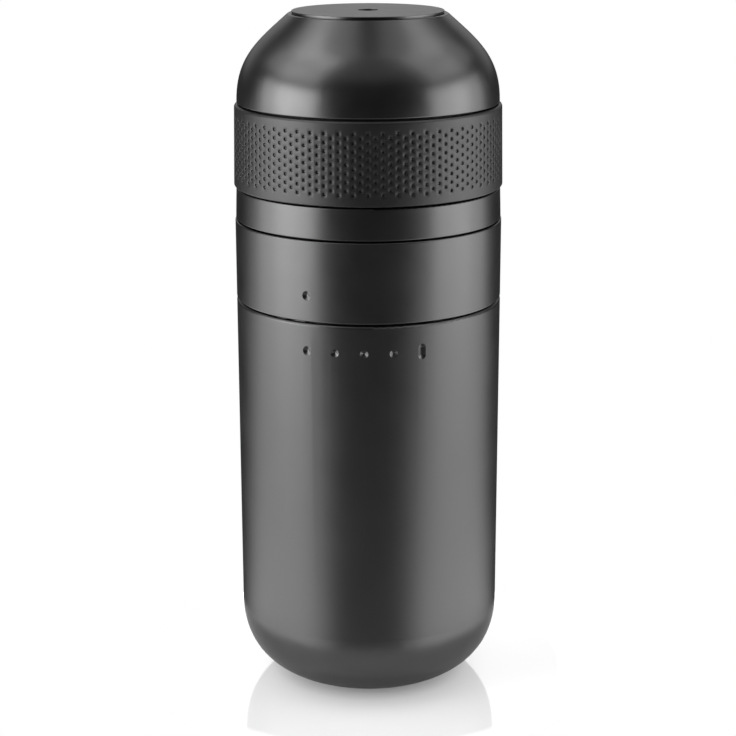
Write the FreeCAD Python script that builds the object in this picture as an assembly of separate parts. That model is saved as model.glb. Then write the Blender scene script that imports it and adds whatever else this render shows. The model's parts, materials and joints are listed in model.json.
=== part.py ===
import FreeCAD, Part
import math
import os

from FreeCAD import Vector

# Handheld manual espresso maker, millimetres. The origin is the centre of the foot on the table,
# +Z runs up the common axis of every turned piece, and the index marks face -Y.
#
# From the table up: a double-walled mug, a locking collar, a bearing band, a grip ring that turns a
# nut, and a domed cap. The brewing unit hangs inside the mug: a cylinder, a piston on a hollow
# left-hand screw stem, a shower screen, and a filter holder with its basket and outlet valve.
# Radii are worked out from the mug's outside inwards, and heights from the table up to the head,
# then from the head down into the mug.

# ---- outside -------------------------------------------------------------------------------------
mug_radius = 36.0
mug_height = 108.8  # table to the seam under the collar
collar_height = 21.3
band_height = 8.4
grip_height = 21.7
cap_height = 23.9
seam_gap = 0.4  # the dark line between two outside pieces
edge_round = 0.35

# how far each outside piece stands back from the mug's radius
band_setback_low = 0.2
band_setback_top = 0.45
grip_setback_low = -0.14
grip_setback_top = 0.25
cap_setback = 0.9

dome_height = 21.0  # where the mug's straight side starts
dome_side_pull = 15.8  # how far the straight side leads down into the dome
dome_base_pull = 10.1  # how far the flat base leads out into the dome
base_radius = 14.6
base_lift = 0.4  # the steel clears the table by this much, on the foot

# ---- clearances ----------------------------------------------------------------------------------
run_gap = 0.3  # faces that pass each other on different moving groups
slide_gap = 0.2  # the screw stem in its nut and in its guide
face_gap = 0.1  # flat running faces
seal_gap = 0.05  # a seal and the wall that it slides or rests on
fit_gap = 0.02  # pieces pressed, screwed or glued into each other
groove_play = 0.4  # a seal's groove is this much taller than the seal

# ---- mug -----------------------------------------------------------------------------------------
shell_wall = 0.8
liner_wall = 0.7
neck_height = 11.3  # mouth above the collar seam
liner_floor_lift = 4.6
liner_corner = 14.0
foot_thickness = 1.5
foot_round = 0.4
shoulder_round = 0.8

# ---- bayonet between the mug and the collar ------------------------------------------------------
lug_count = 3
lug_width = 52.0  # degrees
neck_ring_wall = 0.8
neck_ring_height = 10.0
neck_lug_reach = 1.3
neck_lug_lift = 4.7  # above the seam
neck_lug_height = 3.0
stop_width = 5.0  # degrees
stop_play = 0.6  # degrees
lock_turn = 49.0  # degrees, from the round mark to the bar
collar_wall = 1.7
collar_lug_lift = 0.6
collar_rib_height = 3.0

# ---- index marks ---------------------------------------------------------------------------------
mark_start = -26.4  # degrees from the front, to the left
mark_count = 4
mark_drop = 7.35  # below the seam, on the mug
mark_rise = 7.3  # above the seam, on the collar
large_mark_radius = 1.25
small_mark_radius = 1.1
mark_depth = 0.6
bar_radius = 1.05
bar_height = 4.2

# ---- brewing unit: the head and what it holds ----------------------------------------------------
head_flange_thickness = 3.4
head_flange_reach = 2.7
head_spigot_drop = 8.9
gasket_thickness = 0.75
gasket_width = 2.85
flange_seat_wall = 4.6  # between the head's neck and its pocket, where the screws stand
flange_seat_shelf = 1.4  # the ledge that carries the cylinder's flange
carrier_spigot_drop = 1.3
carrier_wall = 1.4
carrier_pocket_height = 6.0
carrier_rib = 0.7
thrust_washer_thickness = 0.95
lower_washer_thickness = 0.9
lower_washer_play = 1.0
guide_thickness = 2.7
cylinder_flange_thickness = 2.5
cylinder_wall = 2.2
bore_lead_in = 0.6
seal_section = 1.3
cylinder_seal_lift = 2.0

screw_count = 6
screw_radius = 1.2
screw_head_radius = 2.2
screw_head_height = 2.5
screw_drive_depth = 1.2
screw_reach = 9.8  # how far a screw goes into the head
screw_sink = 0.5
screw_hole_spare = 0.4
screw_play = 0.1

# ---- drive ---------------------------------------------------------------------------------------
nut_flange_thickness = 3.45
nut_flange_reach = 2.7
nut_wall = 3.4
nut_step = 1.7  # the nut is turned down this much above the hub's seat
stem_wall = 3.2
stem_mouth_flare = 1.2
key_width = 5.0
key_depth = 1.5
key_root = 1.0
key_count = 2
dog_count = 4
dog_width = 5.0
dog_depth = 1.9
hub_web = 3.0
hub_neck_wall = 2.2
hub_neck_height = 5.5
lock_ring_height = 2.7
lock_ring_width = 4.1
spanner_notch = 3.0
spanner_notch_depth = 1.2
grip_wall = 1.1
grip_round_low = 0.4
grip_round_top = 0.8

# ---- cap -----------------------------------------------------------------------------------------
cap_top_radius = 21.2  # the upper edge of the dome, round the crown
cap_slope_reach = 0.61  # how far out, and how far down, the straight shoulder of the dome leads
cap_slope_drop = 0.343
cap_side_rise = 0.48  # how far up the cap's upright side leads
cap_skirt_wall = 1.9
cap_ceiling = 1.8
cap_inside_rise = 0.2
crown_setback = 1.0  # the flat disc on top stands back from the dome's upper edge by this much
crown_height = 0.75
crown_round = 0.15
crown_groove = 0.45  # the narrow groove under the rim of the crown
crown_groove_depth = 0.5
cap_mark_radius = 2.7  # a plain round recess in the middle of the crown
cap_mark_depth = 0.6
cap_liner_wall = 0.7
cap_liner_height = 7.0
cap_liner_round = 0.2
cap_seal_lift = 2.1
stem_headroom = 3.0  # between the raised stem and the cap's ceiling
thread_left = 0.5  # the lowered stem ends this far below the top of the nut

# ---- piston --------------------------------------------------------------------------------------
piston_height = 12.0
piston_play = 0.15
piston_rest_gap = 0.7
piston_seal_section = 1.66
piston_seal_lift = 3.4
piston_seal_pitch = 5.0
piston_boss_height = 6.2
piston_boss_wall = 3.2
piston_floor = 2.7
valve_recess = 1.5
valve_recess_play = 1.0
flow_hole_count = 6
flow_hole_radius = 1.8
flow_hole_circle = 7.5
valve_disc_overlap = 1.7
valve_disc_thickness = 0.9
valve_disc_edge = 0.5
valve_stalk_radius = 1.5
valve_bulb_radius = 2.3

# ---- screen, basket and filter holder ------------------------------------------------------------
dead_height = 2.8  # water left above the screen when the piston is down
screen_seat = 2.0
screen_seat_reach = 1.3
screen_thickness = 0.8
screen_rings = 3
screen_border = 4.0
screen_hole_radius = 1.1
group_gasket_thickness = 1.2
rim_reach = 2.5
rim_play = 1.5
rim_thickness = 0.55
basket_wall = 0.5
basket_depth = 19.2
basket_corner = 2.0
basket_rings = 4
basket_border = 4.0
basket_hole_radius = 0.8
holder_skirt_wall = 1.8
holder_skirt_height = 11.8  # above the ledge that the basket's rim rests on
holder_waist = 0.7
holder_waist_height = 1.0
holder_lug_reach = 1.9
holder_lug_height = 2.6
holder_lug_drop = 0.4
group_lug_width = 50.0  # degrees
group_lug_reach = 2.0
group_lug_lift = 3.5
group_lug_height = 3.1
holder_pocket_gap = 0.4
holder_floor_gap = 2.0
holder_floor = 3.5
holder_foot_round = 5.0
holder_funnel = 1.2
holder_boss_wall = 2.9
holder_boss_height = 4.5
holder_flutes = 12
holder_flute_radius = 4.0
holder_flute_depth = 0.8
holder_flute_drop = 2.0

# ---- outlet valve and spout ----------------------------------------------------------------------
outlet_radius = 3.0
outlet_bevel = 1.0
nozzle_thread_radius = 8.6
nozzle_flange_reach = 2.0
nozzle_bore = 5.2
nozzle_flange = 1.1
nozzle_foot_wall = 1.2
nozzle_wall = 1.9
nozzle_top_gap = 0.2
nozzle_hole_radius = 1.1
nozzle_hole_circle = 3.4
nozzle_hole_count = 4
poppet_overlap = 1.5
poppet_disc = 1.9
poppet_nose = 1.6
poppet_guide_radius = 1.6
poppet_guide_length = 1.6
spring_radius = 3.1
spring_wire = 0.6
spring_turns = 3.5
spring_steps = 8  # points of the coil's curve in one turn

# ---- radii that follow, from the outside in ------------------------------------------------------
band_radius_low = mug_radius - band_setback_low
band_radius_top = mug_radius - band_setback_top
grip_radius_low = mug_radius - grip_setback_low
grip_radius_top = mug_radius - grip_setback_top
cap_radius = mug_radius - cap_setback
crown_radius = cap_top_radius - crown_setback

collar_bore = mug_radius - collar_wall
neck_lug_radius = collar_bore - run_gap
neck_ring_radius = neck_lug_radius - neck_lug_reach
neck_ring_bore = neck_ring_radius - neck_ring_wall
neck_radius = neck_ring_bore - fit_gap
neck_bore = neck_radius - shell_wall - liner_wall

head_flange_radius = neck_lug_radius - face_gap
head_neck_radius = head_flange_radius - head_flange_reach
head_spigot_radius = neck_bore - run_gap
collar_rib_bore = head_neck_radius + run_gap
flange_seat_radius = head_neck_radius - flange_seat_wall
screw_circle = (head_neck_radius + flange_seat_radius) / 2
cylinder_radius = flange_seat_radius - flange_seat_shelf
cylinder_bore = cylinder_radius - cylinder_wall
piston_radius = cylinder_bore - piston_play
screen_radius = cylinder_bore + screen_seat_reach - seal_gap

holder_skirt_bore = cylinder_radius + group_lug_reach + run_gap
holder_skirt_radius = holder_skirt_bore + holder_skirt_wall
holder_radius = holder_skirt_radius - holder_waist
rim_radius = holder_skirt_bore - rim_play
basket_radius = rim_radius - rim_reach

nut_flange_radius = flange_seat_radius - run_gap
nut_radius = nut_flange_radius - nut_flange_reach
nut_step_radius = nut_radius - nut_step
nut_bore = nut_radius - nut_wall
stem_radius = nut_bore - slide_gap
stem_bore = stem_radius - stem_wall
carrier_bore = nut_radius + run_gap
hub_seat = nut_step_radius + fit_gap
hub_radius = grip_radius_top - grip_wall - seal_gap

cap_skirt_bore = cap_radius - cap_skirt_wall
cap_liner_radius = cap_skirt_bore - fit_gap
cap_liner_bore = cap_liner_radius - cap_liner_wall
hub_neck_radius = cap_liner_bore - run_gap
hub_bore = hub_neck_radius - hub_neck_wall
cap_seal_radius = hub_neck_radius - seal_section + face_gap

# ---- heights that follow -------------------------------------------------------------------------
collar_low = mug_height + seam_gap
collar_top = collar_low + collar_height
band_low = collar_top + seam_gap
band_top = band_low + band_height
grip_low = band_top + seam_gap
grip_top = grip_low + grip_height
cap_low = grip_top + seam_gap
overall_height = cap_low + cap_height

mouth = mug_height + neck_height
flange_low = mouth + seal_gap + gasket_thickness
flange_top = flange_low + head_flange_thickness
head_top = collar_top
spigot_low = flange_low - head_spigot_drop
neck_lug_low = mug_height + neck_lug_lift

carrier_low = head_top - carrier_spigot_drop
thrust_low = carrier_low - thrust_washer_thickness
nut_flange_low = thrust_low - face_gap - nut_flange_thickness
lower_washer_low = nut_flange_low - face_gap - lower_washer_thickness
guide_low = lower_washer_low - guide_thickness
cylinder_seat = guide_low - cylinder_flange_thickness
screw_head_low = band_top - screw_sink - screw_head_height

web_top = grip_low + hub_web
nut_top = web_top + lock_ring_height
stem_top = overall_height - cap_ceiling - stem_headroom
stroke = stem_top - nut_top + thread_left

piston_top = guide_low - piston_rest_gap
piston_low = piston_top - piston_height
piston_floor_low = piston_low + valve_recess
piston_floor_top = piston_floor_low + piston_floor
screen_top = piston_low - stroke - dead_height
cylinder_low = screen_top - screen_seat
rim_top = cylinder_low - group_gasket_thickness - seal_gap
ledge = rim_top - rim_thickness
basket_low = rim_top - basket_depth - basket_wall
holder_floor_top = basket_low - holder_floor_gap
holder_floor_low = holder_floor_top - holder_floor
boss_low = holder_floor_low - holder_boss_height
nozzle_flange_low = boss_low - nozzle_flange
nozzle_low = nozzle_flange_low - nozzle_wall
poppet_top = holder_floor_low - face_gap
poppet_low = poppet_top - poppet_disc

axis = Vector(0, 0, 1)
centre = Vector(0, 0, 0)
front = -90.0  # the direction of -Y, in degrees from +X


# ---- tools ---------------------------------------------------------------------------------------
class Outline:
    """Half of a turned piece's section, as radius and height, drawn edge by edge."""

    def __init__(self, r, z):
        self.first = self.last = Vector(r, 0, z)
        self.edges = []

    def line(self, r, z):
        end = Vector(r, 0, z)
        self.edges.append(Part.LineSegment(self.last, end).toShape())
        self.last = end
        return self

    def curve(self, *poles):
        bezier = Part.BezierCurve()
        points = [self.last] + [Vector(r, 0, z) for r, z in poles]
        bezier.setPoles(points)
        self.edges.append(bezier.toShape())
        self.last = points[-1]
        return self

    def quarter(self, r, z, middle_r, middle_z):
        """A quarter circle to (r, z) about the point (middle_r, middle_z)."""
        end = Vector(r, 0, z)
        middle = Vector(middle_r, 0, middle_z)
        outwards = (self.last - middle + end - middle).normalize()
        through = middle + outwards * (end - middle).Length
        self.edges.append(Part.Arc(self.last, through, end).toShape())
        self.last = end
        return self

    def turned(self):
        self.line(self.first.x, self.first.z)
        return Part.Face(Part.Wire(self.edges)).revolve(centre, axis, 360)


def disc(radius, low, high):
    return Part.makeCylinder(radius, high - low, Vector(0, 0, low))


def tube(outer, inner, low, high):
    return disc(outer, low, high).cut(disc(inner, low, high))


def sector(outer, inner, low, high, middle, width):
    """A piece of a ring, width degrees wide, centred on the direction middle."""
    wedge = Part.makeCylinder(outer, high - low, Vector(0, 0, low), axis, width)
    wedge.rotate(centre, axis, middle - width / 2)
    return wedge.cut(disc(inner, low, high))


def post(radius, off_axis, low, high):
    """An upright cylinder that stands off_axis from the axis, along +X."""
    return Part.makeCylinder(radius, high - low, Vector(off_axis, 0, low))


def block(inner, outer, width, low, high):
    """A box that runs out along +X, centred on that direction."""
    return Part.makeBox(outer - inner, width, high - low, Vector(inner, -width / 2, low))


def polar(radius, angle, z):
    turn = math.radians(angle)
    return Vector(radius * math.cos(turn), radius * math.sin(turn), z)


def round_the_axis(shape, count, start=0.0):
    copies = []
    for i in range(count):
        copy = shape.copy()
        copy.rotate(centre, axis, start + 360.0 * i / count)
        copies.append(copy)
    return copies


def fused(shape, pieces):
    return shape.fuse(pieces).removeSplitter()


def rounded(shape, radius, *places):
    """Rounds the full circles that lie at the given (radius, height) places."""
    tolerance = fit_gap / 10
    chosen = []
    for edge in shape.Edges:
        circle = edge.Curve
        if not isinstance(circle, Part.Circle) or not edge.isClosed():
            continue
        for r, z in places:
            if abs(circle.Radius - r) < tolerance and abs(circle.Center.z - z) < tolerance:
                chosen.append(edge)
    return shape.makeFillet(radius, chosen)


def o_ring(inner, section, z):
    return Part.makeTorus(inner + section / 2, section / 2, Vector(0, 0, z))


def index_mark(surface_radius, angle, z, radius, height=0.0):
    """The tool for a mark with sloping sides in an upright wall, drawn out upwards if it is high."""
    out = polar(1, front + angle, 0)
    half = max(height / 2 - radius, 0.0)
    tip = polar(surface_radius - mark_depth, front + angle, z - half)
    cone = Part.makeCone(0, 2 * radius, 2 * mark_depth, tip, out)
    if not half:
        return cone
    far = tip + out * 2 * mark_depth
    side = axis.cross(out) * 2 * radius
    section = Part.Face(Part.makePolygon([tip, far - side, far + side, tip]))
    upper = cone.copy()
    upper.translate(axis * 2 * half)
    return cone.fuse([section.extrude(axis * 2 * half), upper])


def hole_rings(rings, reach, radius, low, high):
    """One hole on the axis and rings of holes round it, the last at reach, six more on each."""
    holes = [disc(radius, low, high)]
    for ring in range(1, rings + 1):
        hole = post(radius, reach * ring / rings, low, high)
        holes += round_the_axis(hole, 6 * ring)
    return holes


# ---- mug -----------------------------------------------------------------------------------------
def mug_shell():
    side = mug_radius - shell_wall
    neck_inside = neck_radius - shell_wall
    lip = mouth - liner_wall
    floor = foot_thickness + shell_wall
    shell = Outline(0, foot_thickness)
    shell.line(base_radius, foot_thickness)
    shell.line(base_radius, base_lift)
    shell.line(base_radius + shell_wall, base_lift)
    shell.curve(
        (base_radius + dome_base_pull, base_lift),
        (mug_radius, dome_height - dome_side_pull),
        (mug_radius, dome_height),
    )
    shell.line(mug_radius, mug_height).line(neck_radius, mug_height)
    shell.line(neck_radius, lip).line(neck_inside, lip)
    shell.line(neck_inside, mug_height - shell_wall).line(side, mug_height - shell_wall)
    shell.line(side, dome_height)
    shell.curve(
        (side, dome_height - dome_side_pull + shell_wall),
        (base_radius + dome_base_pull, floor),
        (base_radius, floor),
    )
    shell.line(0, floor)
    solid = rounded(shell.turned(), shoulder_round, (mug_radius, mug_height))
    z = mug_height - mark_drop
    for i in range(mark_count):
        size = small_mark_radius if i else large_mark_radius
        angle = mark_start + i * lock_turn / mark_count
        solid = solid.cut(index_mark(mug_radius, angle, z, size))
    return solid.cut(index_mark(mug_radius, mark_start + lock_turn, z, bar_radius, bar_height))


def mug_liner():
    """The inner steel cup. Its lip turns over the shell's edge, where the two are welded."""
    outside = neck_bore + liner_wall
    floor = liner_floor_lift + liner_wall
    bend = liner_floor_lift + liner_corner
    liner = Outline(0, liner_floor_lift)
    liner.line(outside - liner_corner, liner_floor_lift)
    liner.quarter(outside, bend, outside - liner_corner, bend)
    liner.line(outside, mouth - liner_wall).line(neck_radius, mouth - liner_wall)
    liner.line(neck_radius, mouth).line(neck_bore, mouth).line(neck_bore, bend)
    liner.quarter(outside - liner_corner, floor, outside - liner_corner, bend)
    liner.line(0, floor)
    return liner.turned()


def mug_foot():
    radius = base_radius - fit_gap
    return rounded(disc(radius, 0, foot_thickness), foot_round, (radius, 0))


def bayonet_ring():
    """The steel ring pressed on the mug's neck, with lugs that the collar's lugs turn under."""
    low = mug_height + fit_gap
    lug_top = neck_lug_low + neck_lug_height
    half_step = 180.0 / lug_count
    half_widths = (lug_width + stop_width) / 2
    lug = sector(
        neck_lug_radius, neck_ring_bore, neck_lug_low, lug_top, front + half_step, lug_width
    )
    lock_stop = sector(
        neck_lug_radius,
        neck_ring_bore,
        low,
        neck_lug_low,
        front + half_widths + lock_turn + stop_play,
        stop_width,
    )
    open_stop = sector(
        neck_lug_radius,
        neck_ring_bore,
        low,
        lug_top,
        front - half_step + half_widths,
        stop_width,
    )
    ring = tube(neck_ring_radius, neck_ring_bore, low, low + neck_ring_height)
    lugs = round_the_axis(lug, lug_count)
    lugs += round_the_axis(lock_stop, lug_count)
    lugs += round_the_axis(open_stop, lug_count)
    return fused(ring, lugs)


# ---- collar --------------------------------------------------------------------------------------
def lock_collar():
    rib_low = flange_top + run_gap
    rib_top = rib_low + collar_rib_height
    collar = Outline(collar_bore, collar_low)
    collar.line(mug_radius, collar_low).line(mug_radius, collar_top)
    collar.line(collar_bore, collar_top).line(collar_bore, rib_top)
    collar.line(collar_rib_bore, rib_top).line(collar_rib_bore, rib_low)
    collar.line(collar_bore, rib_low)
    solid = rounded(
        collar.turned(), edge_round, (mug_radius, collar_low), (mug_radius, collar_top)
    )
    lug = sector(
        collar_bore + fit_gap,
        neck_ring_radius + run_gap,
        collar_low + collar_lug_lift,
        neck_lug_low - run_gap,
        front,
        lug_width,
    )
    solid = fused(solid, round_the_axis(lug, lug_count))
    z = mug_height + mark_rise
    return solid.cut(index_mark(mug_radius, mark_start, z, large_mark_radius))


# ---- brewing unit --------------------------------------------------------------------------------
def press_head():
    """The head rests on the mug's rim, and holds the cylinder, the guide and the nut's flange."""
    bore = cylinder_radius + seal_gap
    groove_low = spigot_low + cylinder_seal_lift
    groove_top = groove_low + seal_section + groove_play
    groove = tube(bore + seal_section, bore - seal_section, groove_low, groove_top)
    head = Outline(bore, spigot_low)
    head.line(head_spigot_radius, spigot_low).line(head_spigot_radius, flange_low)
    head.line(head_flange_radius, flange_low).line(head_flange_radius, flange_top)
    head.line(head_neck_radius, flange_top).line(head_neck_radius, head_top)
    head.line(flange_seat_radius, head_top).line(flange_seat_radius, cylinder_seat)
    head.line(bore, cylinder_seat)
    hole_low = head_top - screw_reach - screw_hole_spare
    hole = post(screw_radius + fit_gap, screw_circle, hole_low, head_top)
    return head.turned().cut(round_the_axis(hole, screw_count) + [groove])


def mouth_gasket():
    inside = head_spigot_radius + seal_gap
    return tube(inside + gasket_width, inside, flange_low - gasket_thickness, flange_low)


def bearing_band():
    """The plain band under the grip: it holds the nut down against the press load."""
    seat = flange_seat_radius - seal_gap
    pocket_in = head_neck_radius + carrier_rib
    pocket_out = band_radius_top - carrier_wall
    pocket_top = head_top + carrier_pocket_height
    band = Outline(carrier_bore, carrier_low)
    band.line(seat, carrier_low).line(seat, head_top).line(pocket_in, head_top)
    band.line(pocket_in, pocket_top).line(pocket_out, pocket_top).line(pocket_out, band_low)
    band.line(band_radius_low, band_low).line(band_radius_top, band_top)
    band.line(carrier_bore, band_top)
    solid = rounded(
        band.turned(), edge_round, (band_radius_low, band_low), (band_radius_top, band_top)
    )
    hole = post(screw_radius + screw_play, screw_circle, head_top, band_top)
    sink = post(screw_head_radius + screw_play, screw_circle, screw_head_low, band_top)
    return solid.cut(round_the_axis(hole.fuse(sink), screw_count))


def carrier_screws():
    head_top_z = screw_head_low + screw_head_height
    shank = post(screw_radius, screw_circle, head_top - screw_reach, screw_head_low)
    head = post(screw_head_radius, screw_circle, screw_head_low, head_top_z)
    drive = post(screw_radius, screw_circle, head_top_z - screw_drive_depth, head_top_z)
    screw = shank.fuse(head).cut(drive).removeSplitter()
    return Part.makeCompound(round_the_axis(screw, screw_count))


def thrust_washer():
    return tube(nut_flange_radius + face_gap, carrier_bore + seal_gap, thrust_low, carrier_low)


def lower_washer():
    return tube(
        nut_flange_radius + face_gap,
        stem_radius + lower_washer_play,
        lower_washer_low,
        lower_washer_low + lower_washer_thickness,
    )


def guide_plate():
    """Keeps the stem from turning: two keys stand into its grooves."""
    top = guide_low + guide_thickness
    bore = stem_radius + slide_gap
    plate = tube(flange_seat_radius - seal_gap, bore, guide_low, top)
    key = block(stem_radius - key_depth, bore + key_root, key_width, guide_low, top)
    return fused(plate, round_the_axis(key, key_count))


def brew_cylinder():
    flange = flange_seat_radius - seal_gap
    flange_high = cylinder_seat + cylinder_flange_thickness
    recess = screen_radius + seal_gap
    body = Outline(recess, cylinder_low)
    body.line(cylinder_radius, cylinder_low).line(cylinder_radius, cylinder_seat)
    body.line(flange, cylinder_seat).line(flange, flange_high)
    body.line(cylinder_bore + bore_lead_in, flange_high)
    body.line(cylinder_bore, flange_high - 2 * bore_lead_in)
    body.line(cylinder_bore, screen_top).line(recess, screen_top)
    low = cylinder_low + group_lug_lift
    lug = sector(
        cylinder_radius + group_lug_reach,
        (cylinder_radius + cylinder_bore) / 2,
        low,
        low + group_lug_height,
        front,
        group_lug_width,
    )
    return fused(body.turned(), round_the_axis(lug, lug_count))


def cylinder_seal():
    z = spigot_low + cylinder_seal_lift + (seal_section + groove_play) / 2
    return o_ring(cylinder_radius + fit_gap, seal_section, z)


def shower_screen():
    low = screen_top - screen_thickness
    reach = screen_radius - screen_border
    holes = hole_rings(screen_rings, reach, screen_hole_radius, low, screen_top)
    return disc(screen_radius, low, screen_top).cut(holes)


def group_gasket():
    low = cylinder_low - group_gasket_thickness
    return tube(rim_radius, basket_radius + seal_gap, low, cylinder_low)


# ---- drive ---------------------------------------------------------------------------------------
def drive_nut():
    flange_high = nut_flange_low + nut_flange_thickness
    nut = Outline(nut_bore, nut_flange_low)
    nut.line(nut_flange_radius, nut_flange_low).line(nut_flange_radius, flange_high)
    nut.line(nut_radius, flange_high).line(nut_radius, grip_low)
    nut.line(nut_step_radius, grip_low).line(nut_step_radius, nut_top)
    nut.line(nut_bore, nut_top)
    slot = block(nut_step_radius, nut_flange_radius, dog_width, grip_low - dog_depth, grip_low)
    return nut.turned().cut(round_the_axis(slot, dog_count))


def ring_hub():
    """Carries the grip outside and the cap on its neck, and drives the nut through four dogs."""
    shoulder = grip_top - seam_gap
    neck_top = grip_top + hub_neck_height
    groove_low = grip_top + cap_seal_lift
    groove_top = groove_low + seal_section + groove_play
    hub = Outline(hub_seat, grip_low)
    hub.line(hub_radius, grip_low).line(hub_radius, shoulder)
    hub.line(hub_neck_radius, shoulder).line(hub_neck_radius, groove_low)
    hub.line(cap_seal_radius - fit_gap, groove_low).line(cap_seal_radius - fit_gap, groove_top)
    hub.line(hub_neck_radius, groove_top).line(hub_neck_radius, neck_top)
    hub.line(hub_bore, neck_top).line(hub_bore, web_top).line(hub_seat, web_top)
    solid = rounded(hub.turned(), edge_round, (hub_neck_radius, neck_top), (hub_bore, neck_top))
    low = grip_low - dog_depth + seal_gap
    dog = block(hub_seat, nut_flange_radius, dog_width - 2 * seal_gap, low, grip_low)
    dog = dog.common(tube(nut_radius, hub_seat, low, grip_low))
    return fused(solid, round_the_axis(dog, dog_count))


def hub_lock_ring():
    outside = hub_seat + lock_ring_width
    ring = tube(outside, hub_seat, web_top, nut_top)
    notch = block(
        outside - spanner_notch_depth, outside + spanner_notch, spanner_notch, web_top, nut_top
    )
    return ring.cut(round_the_axis(notch, dog_count, 180.0 / dog_count))


def grip_sleeve():
    """The outside of the grip ring narrows a little upwards."""
    inside = hub_radius + seal_gap
    grip = Outline(inside, grip_low)
    grip.line(grip_radius_low, grip_low).line(grip_radius_top, grip_top).line(inside, grip_top)
    solid = rounded(grip.turned(), grip_round_low, (grip_radius_low, grip_low))
    return rounded(solid, grip_round_top, (grip_radius_top, grip_top))


def cap_seal():
    z = grip_top + cap_seal_lift + (seal_section + groove_play) / 2
    return o_ring(cap_seal_radius, seal_section, z)


# ---- cap -----------------------------------------------------------------------------------------
def cap_shell():
    """The dome has straight shoulders and a flat crown. A step inside stops the liner."""
    top = overall_height
    ceiling = top - cap_ceiling
    step = cap_low + cap_liner_height + edge_round
    slope_drop = cap_slope_drop * cap_height
    inner_top = cap_top_radius - cap_ceiling / 2
    shoulder = top - crown_height
    groove_bottom = crown_radius - crown_groove_depth
    rim_low = shoulder + crown_groove
    cap = Outline(0, ceiling).line(inner_top, ceiling)
    cap.curve(
        (inner_top + cap_slope_reach * (cap_liner_bore - inner_top), ceiling - slope_drop),
        (cap_liner_bore, step + cap_inside_rise * (ceiling - step)),
        (cap_liner_bore, step),
    )
    cap.line(cap_skirt_bore, step).line(cap_skirt_bore, cap_low).line(cap_radius, cap_low)
    cap.curve(
        (cap_radius, cap_low + cap_side_rise * cap_height),
        (cap_top_radius + cap_slope_reach * (cap_radius - cap_top_radius), top - slope_drop),
        (cap_top_radius, shoulder),
    )
    cap.line(groove_bottom, shoulder).line(groove_bottom, rim_low).line(crown_radius, rim_low)
    cap.line(crown_radius, top).line(cap_mark_radius, top)
    cap.line(cap_mark_radius, top - cap_mark_depth).line(0, top - cap_mark_depth)
    solid = rounded(cap.turned(), edge_round, (cap_top_radius, shoulder), (cap_radius, cap_low))
    return rounded(solid, crown_round, (crown_radius, top))


def cap_liner():
    low = cap_low + edge_round
    liner = tube(cap_liner_radius, cap_liner_bore, low, low + cap_liner_height - fit_gap)
    return rounded(liner, cap_liner_round, (cap_liner_bore, low))


# ---- piston --------------------------------------------------------------------------------------
def press_stem():
    """The hollow screw: water is poured through it, and its two grooves slide on the guide's keys."""
    stem = Outline(stem_bore, piston_top)
    stem.line(stem_radius, piston_top).line(stem_radius, stem_top)
    stem.line(stem_bore + stem_mouth_flare, stem_top)
    stem.line(stem_bore, stem_top - stem_mouth_flare)
    floor = stem_radius - key_depth - slide_gap
    groove = block(floor, nut_radius, key_width + 2 * slide_gap, piston_top, stem_top)
    return stem.turned().cut(round_the_axis(groove, key_count))


def piston_head():
    groove = piston_seal_section + groove_play
    seat = piston_radius - piston_seal_section + seal_gap
    boss = stem_bore - fit_gap
    boss_top = piston_top + piston_boss_height
    recess = flow_hole_circle + flow_hole_radius + valve_disc_overlap + valve_recess_play
    head = Outline(0, piston_floor_low)
    head.line(recess, piston_floor_low).line(recess, piston_low).line(piston_radius, piston_low)
    for i in range(2):
        low = piston_low + piston_seal_lift + i * piston_seal_pitch - groove / 2
        head.line(piston_radius, low).line(seat, low)
        head.line(seat, low + groove).line(piston_radius, low + groove)
    head.line(piston_radius, piston_top).line(boss, piston_top).line(boss, boss_top)
    head.line(boss - piston_boss_wall, boss_top)
    head.line(boss - piston_boss_wall, piston_floor_top).line(0, piston_floor_top)
    hole = post(flow_hole_radius, flow_hole_circle, piston_floor_low, piston_floor_top)
    stalk = disc(valve_stalk_radius + seal_gap, piston_floor_low, piston_floor_top)
    return head.turned().cut(round_the_axis(hole, flow_hole_count) + [stalk])


def piston_seals():
    inner = piston_radius - piston_seal_section + seal_gap + fit_gap
    rings = []
    for i in range(2):
        z = piston_low + piston_seal_lift + i * piston_seal_pitch
        rings.append(o_ring(inner, piston_seal_section, z))
    return Part.makeCompound(rings)


def inlet_valve():
    """A soft umbrella valve: it lets water down into the cylinder and seals under pressure."""
    radius = flow_hole_circle + flow_hole_radius + valve_disc_overlap
    under = piston_floor_low - fit_gap
    over = piston_floor_top + fit_gap
    crown = under - valve_disc_thickness
    valve = Outline(0, crown)
    valve.curve((radius / 2, crown), (radius, under - valve_disc_edge))
    valve.line(radius, under).line(valve_stalk_radius, under)
    valve.line(valve_stalk_radius, over).line(valve_bulb_radius, over)
    valve.line(valve_stalk_radius, over + valve_bulb_radius).line(0, over + valve_bulb_radius)
    return valve.turned()


# ---- filter holder -------------------------------------------------------------------------------
def filter_basket():
    inner = basket_radius - basket_wall
    floor = basket_low + basket_wall
    bend = basket_low + basket_corner
    basket = Outline(0, basket_low)
    basket.line(basket_radius - basket_corner, basket_low)
    basket.quarter(basket_radius, bend, basket_radius - basket_corner, bend)
    basket.line(basket_radius, ledge).line(rim_radius, ledge).line(rim_radius, rim_top)
    basket.line(inner, rim_top).line(inner, bend)
    basket.quarter(basket_radius - basket_corner, floor, basket_radius - basket_corner, bend)
    basket.line(0, floor)
    reach = basket_radius - basket_border
    holes = hole_rings(basket_rings, reach, basket_hole_radius, basket_low, floor)
    return basket.turned().cut(holes)


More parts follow.
